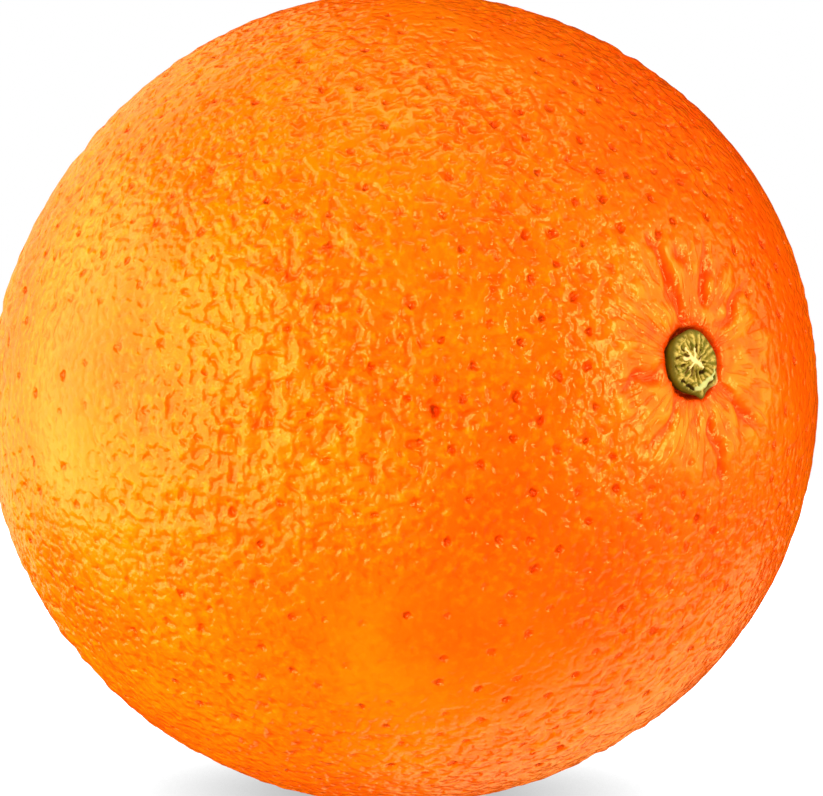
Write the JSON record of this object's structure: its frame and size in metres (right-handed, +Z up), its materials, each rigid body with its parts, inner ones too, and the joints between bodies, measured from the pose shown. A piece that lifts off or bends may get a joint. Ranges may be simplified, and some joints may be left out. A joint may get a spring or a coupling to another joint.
{
  "type": "orange",
  "caption": "Whole round citrus fruit lying on its side, with a pitted peel, a furrowed stem end and a small calyx button set in it.",
  "frame": {"origin": "middle of the orange's box from above, on the surface that its flat spot rests on", "axes": "+Z up, -Y towards the stem end, whose core is tipped 9 degrees up from level, +X to the right as seen facing the stem end"},
  "size_m": [0.076, 0.0796, 0.0755],
  "materials": {
    "peel": "waxy pitted citrus peel, semi-gloss",
    "calyx": "dry olive-green stem tissue, matt"
  },
  "bodies": {
    "root": {"orange_fruit": "peel", "calyx_button": "calyx"}
  },
  "joints": []
}
